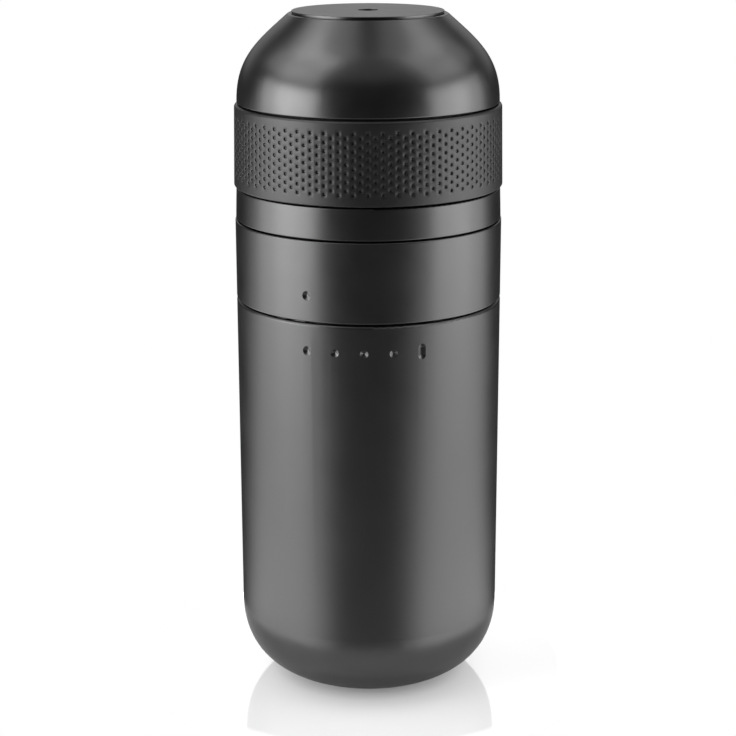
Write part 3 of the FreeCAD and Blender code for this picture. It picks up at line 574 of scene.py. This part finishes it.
def eased(section, steps=5):
    """A closed section from (radius, height) corners, in which a third number rounds a corner."""
    outline = []
    for i, corner in enumerate(section):
        here = Vector(corner[:2])
        if len(corner) < 3:
            outline.append(here)
            continue
        back = (Vector(section[i - 1][:2]) - here).normalized()
        ahead = (Vector(section[(i + 1) % len(section)][:2]) - here).normalized()
        half = math.acos(max(-1.0, min(1.0, back.dot(ahead)))) / 2
        middle = here + (back + ahead).normalized() * corner[2] / math.sin(half)
        start = here + back * corner[2] / math.tan(half) - middle
        swing = start.angle_signed(here + ahead * corner[2] / math.tan(half) - middle)
        for step in range(steps + 1):
            outline.append(middle + Matrix.Rotation(-swing * step / steps, 2) @ start)
    return outline


print("a rounded corner becomes", len(eased([(0, 0), (2, 0, 1), (2, 2)])) - 2, "points")

# %% [markdown]
# Wherever a pit goes, a block of squares gives way to rings of vertices that lead down into it.
# Each vertex on the edge of the block is drawn in towards the pit's middle, on to a circle. The pit
# has an eased rim, which catches the light, and steep sides, which keep it out of the middle.

# %% Sink a pit
RINGS = [(1.0, 0.0), (0.74, 0.15), (0.44, 0.85), (0.12, 1.0)]  # shares of radius and of depth


def sink(points, faces, edge, offsets, place, pit):
    """Adds the rings of one pit inside a block whose edge vertices lie at (across, up) offsets."""
    outer = edge
    for share, sunk in RINGS:
        first = len(points)
        for offset in offsets:
            out = Vector(offset).normalized() * share * pit["radius"]
            points.append(place(out.x, out.y, pit["depth"] * sunk))
        inner = list(range(first, first + len(edge)))
        faces += [(outer[k - 1], outer[k], inner[k], inner[k - 1]) for k in range(len(edge))]
        outer = inner
    faces.append(tuple(outer))


print("a pit has", len(RINGS), "rings")

# %% [markdown]
# The sweep leaves out the squares of the blocks and sinks a pit in each. A pit is given by the
# direction and the point of the section at its middle, the number of squares that it takes to
# every side, and its size.

# %% Sweep a section round the axis


def sweep(outline, directions, pits):
    """Vertices and faces of the turned piece, in millimetres."""
    count, rows = len(directions), len(outline)
    points = [(r * math.cos(a), r * math.sin(a), z) for a in directions for r, z in outline]
    gone, faces = set(), []
    for pit in pits:
        column, row, span = pit["column"], pit["row"], pit["span"]
        (r, z), above, below = outline[row], outline[row + 1], outline[row - 1]
        lean = (above[0] - below[0]) / (above[1] - below[1])
        step = r * (directions[1] - directions[0])
        block = range(-span, span)
        gone.update(((column + i) % count, row + j) for i in block for j in block)
        edge = [(i, -span) for i in block] + [(span, j) for j in block]
        edge += [(-i, -j) for i, j in edge]
        corners = [((column + i) % count) * rows + row + j for i, j in edge]
        offsets = [(i * step, outline[row + j][1] - z) for i, j in edge]

        def place(across, up, sunk):
            a, depth = directions[column] + across / r, r + lean * up - sunk
            return (depth * math.cos(a), depth * math.sin(a), z + up)

        sink(points, faces, corners, offsets, place, pit)
    for i in range(count):
        ahead = (i + 1) % count
        for j in range(rows):
            if (i, j) not in gone:
                up = (j + 1) % rows
                faces.append((i * rows + j, ahead * rows + j, ahead * rows + up, i * rows + up))
    return points, faces


print("sections are swept by", sweep.__name__)

# %% [markdown]
# A finished mesh becomes a piece: it is shaded smooth except at its sharp edges, rides on its body
# and stands for the CAD solid that it is drawn over.

# %% Make a piece of it
CREASE = 26  # degrees: a fold sharper than this is shaded as an edge


def piece(name, points, faces, material, body, solid):
    """A piece from a mesh in millimetres. It rides on a body and takes the place of a solid."""
    mesh = bpy.data.meshes.new(name)
    mesh.from_pydata([[c * MM for c in p] for p in points], [], faces)
    mesh.materials.append(material)
    mesh.shade_smooth()
    mesh.set_sharp_from_angle(angle=math.radians(CREASE))
    thing = bpy.data.objects.new(name, mesh)
    bpy.context.scene.collection.objects.link(thing)
    even = thing.modifiers.new("even_shading", "WEIGHTED_NORMAL")
    even.keep_sharp = True
    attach(thing, body)
    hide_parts(solid)
    print(name, "has", len(mesh.vertices), "vertices and", len(mesh.polygons), "faces")
    return thing


# %% [markdown]
# ## The dimpled grip
#
# Wet hands have to turn this ring against the pressure of the brew, so it carries 120 columns of
# small round dimples, every second column shifted by half a step. Cutting them as real pits, rather
# than painting a bump, gives each one its own lit and shaded side, and they still stand out at the
# edge of the ring, where a bump map goes flat. The wall is laid out in squares, four from one
# dimple to the next.

# %% Draw the grip's section
low, high = (corner[2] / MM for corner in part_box("grip_sleeve"))
GRIP_LOW, GRIP_TOP, GRIP_BORE = 36.14, 35.75, 34.65  # radii of the wall's two ends, and of the bore
LOW_ROUND, TOP_ROUND = 0.4, 0.8
COLUMNS, PITCH = 120, 2.2
DIMPLES_UP = 8  # in an even column; an odd one has one fewer
SPLIT = 4  # squares from one dimple to the next, round the ring and up it

lean = (GRIP_TOP - GRIP_LOW) / (high - low)
middle = (low + high) / 2
half = SPLIT * DIMPLES_UP // 2
steps = [middle + PITCH / SPLIT * k for k in range(-half, half + 1)]
wall = [(GRIP_LOW + lean * (z - low), z) for z in steps]
foot, crown = (GRIP_LOW, low, LOW_ROUND), (GRIP_TOP, high, TOP_ROUND)
outline = eased([(GRIP_BORE, low), foot, *wall, crown, (GRIP_BORE, high)])
first_row = min(range(len(outline)), key=lambda i: abs(outline[i][1] - steps[0]))
print("the section has", len(outline), "points, and its wall starts at number", first_row)

# %% [markdown]
# The dimples are a millimetre and a quarter across and not quite half a millimetre deep. Even
# columns hold eight of them and odd columns seven, half a step apart.

# %% Cut the dimples
DIMPLE = {"radius": 0.64, "depth": 0.45, "span": SPLIT // 2}

turns = [math.tau * i / (SPLIT * COLUMNS) for i in range(SPLIT * COLUMNS)]
dimples = []
for column in range(COLUMNS):
    odd = column % 2
    lowest = first_row + SPLIT // 2 * (1 + odd)
    for k in range(DIMPLES_UP - odd):
        dimples.append(DIMPLE | {"column": SPLIT * column, "row": lowest + SPLIT * k})
points, faces = sweep(outline, turns, dimples)
piece("grip_ring_dimpled", points, faces, gripping, "drive_ring", "grip_sleeve")
print(len(dimples), "dimples")

# %% [markdown]
# ## The screw stem
#
# Six turns of the ring push the piston all the way down, so the screw has to be steep: two threads
# run side by side, three millimetres from crest to crest, and each climbs six in a turn. They are
# left-handed, so that the stem goes down when the ring is turned clockwise. A screw modifier could
# wind them, but cutting the two key grooves down the sides with a boolean would tear the thin
# crests. So the rows of vertices follow the thread, and the columns know the grooves.

# %% Lay out the stem
low, high = (corner[2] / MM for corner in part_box("press_stem"))
CREST, ROOT, BORE = 20.0, 18.8, 16.8  # radii
FLARE = 1.2  # of the bore's upper end
THREAD_PITCH, THREAD_LEAD = 3.0, 6.0
PROFILE = [  # height in the thread, radius
    (0.0, ROOT), (0.5, CREST), (1.4, CREST), (1.9, ROOT), (THREAD_PITCH, ROOT),
]
KEY_HALF, KEY_FLOOR = 2.7, 18.3  # half a groove's width, and its floor's distance from the axis


def thread_radius(height, angle):
    """The radius of the thread at a height, in a direction round the axis."""
    along = (height - low + THREAD_LEAD * angle / math.tau) % THREAD_PITCH
    for (start, inner), (end, outer) in zip(PROFILE, PROFILE[1:]):
        if along <= end:
            return inner + (outer - inner) * (along - start) / (end - start)


print("the stem is", round(high - low, 1), "mm long")

# %% [markdown]
# A column runs up the outside and down the bore, and is cut off at the ends of the stem. Beside a
# key groove it lies on the groove's flat wall, and two more columns run along the groove's floor.

# %% Set up its columns
WINDS = math.ceil((high - low + THREAD_LEAD) / THREAD_PITCH) + 1


def stem_column(angle, kind):
    """The points of one column, which is free, or on the wall or the floor of a key groove."""
    points = []
    for wind in range(WINDS):
        for along, _ in PROFILE[:-1]:
            height = low + wind * THREAD_PITCH + along - THREAD_LEAD * angle / math.tau
            height = max(low, min(high, height))
            radius = thread_radius(height, angle)
            x, y = radius * math.cos(angle), radius * math.sin(angle)
            if kind != "free":
                y = math.copysign(KEY_HALF, y)
                out = KEY_FLOOR if kind == "floor" else math.sqrt(radius**2 - y**2)
                x = math.copysign(out, x)
            points.append((x, y, height))
    for radius, height in ((BORE + FLARE, high), (BORE, high - FLARE), (BORE, low)):
        points.append((radius * math.cos(angle), radius * math.sin(angle), height))
    return points


print("a column has", len(stem_column(1.0, "free")), "points")

# %% [markdown]
# The last column stands on the first, one turn of the thread lower. Points that share a place are
# made one, which closes the ring and takes out the faces that were squeezed flat at the ends.

# %% Wind the stem


def welded(points, faces):
    """The same mesh with the points at one place made one, and without the faces that vanish."""
    number = {}
    merged = [number.setdefault(tuple(round(c, 4) for c in p), len(number)) for p in points]
    faces = [tuple(dict.fromkeys(merged[i] for i in face)) for face in faces]
    return list(number), [face for face in faces if len(face) > 2]


FREE_STEPS = 56  # from one key groove to the other

beside = math.asin(KEY_HALF / CREST)
free = [beside + (math.pi - 2 * beside) * k / FREE_STEPS for k in range(1, FREE_STEPS)]
columns = []
for turn in (0.0, math.pi):
    far = turn + math.pi
    columns += [(turn + beside, "wall"), *((turn + a, "free") for a in free)]
    columns += [(far - beside, "wall"), (far - beside, "floor"), (far + beside, "floor")]
columns.append((math.tau + beside, "wall"))
rings = [stem_column(*column) for column in columns]
rows = len(rings[0])
faces = [
    (i * rows + j, (i + 1) * rows + j, (i + 1) * rows + (j + 1) % rows, i * rows + (j + 1) % rows)
    for i in range(len(rings) - 1)
    for j in range(rows)
]
points, faces = welded([point for ring in rings for point in ring], faces)
piece("stem_two_threads", points, faces, pale_metal, "piston", "press_stem")
print("it is wound from", len(columns), "columns")

# %% [markdown]
# ## The valve spring
#
# A small steel spring holds the outlet valve shut until the brew has pressure, and is squeezed when
# the valve opens. A solid from the frame is rigid, so the valve would run into it. The spring is
# wound again here as a wire along a helix: rings of points square to the wire, closed at both ends.

# %% Wind the spring
WIRE_RADIUS, SPRING_TURNS = 0.3, 3.5
TURN_STEPS, RING_POINTS = 24, 16
bottom, top = (Vector(corner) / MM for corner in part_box("valve_spring"))
coil_radius = (top.x - bottom.x) / 2 - WIRE_RADIUS
rise = top.z - bottom.z - 2 * WIRE_RADIUS
climb = math.atan2(rise, math.tau * SPRING_TURNS * coil_radius)
steps = round(SPRING_TURNS * TURN_STEPS)
points = []
for i in range(steps + 1):
    angle = math.tau * i / TURN_STEPS
    radial = Vector((math.cos(angle), math.sin(angle), 0.0))
    ahead = Vector((-radial.y * math.cos(climb), radial.x * math.cos(climb), math.sin(climb)))
    middle = radial * coil_radius + Vector((0.0, 0.0, bottom.z + WIRE_RADIUS + rise * i / steps))
    for k in range(RING_POINTS):
        around = math.tau * k / RING_POINTS
        side = radial * math.cos(around) + radial.cross(ahead) * math.sin(around)
        points.append(middle + WIRE_RADIUS * side)
faces = [tuple(range(RING_POINTS)), tuple(reversed(range(len(points) - RING_POINTS, len(points))))]
for i in range(steps):
    for k in range(RING_POINTS):
        here, beside = i * RING_POINTS + k, i * RING_POINTS + (k + 1) % RING_POINTS
        faces.append((here, here + RING_POINTS, beside + RING_POINTS, beside))
spring = piece("spring_wound", points, faces, steel, "holder", "valve_spring")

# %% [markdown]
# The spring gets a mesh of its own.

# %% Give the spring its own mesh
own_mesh(spring)
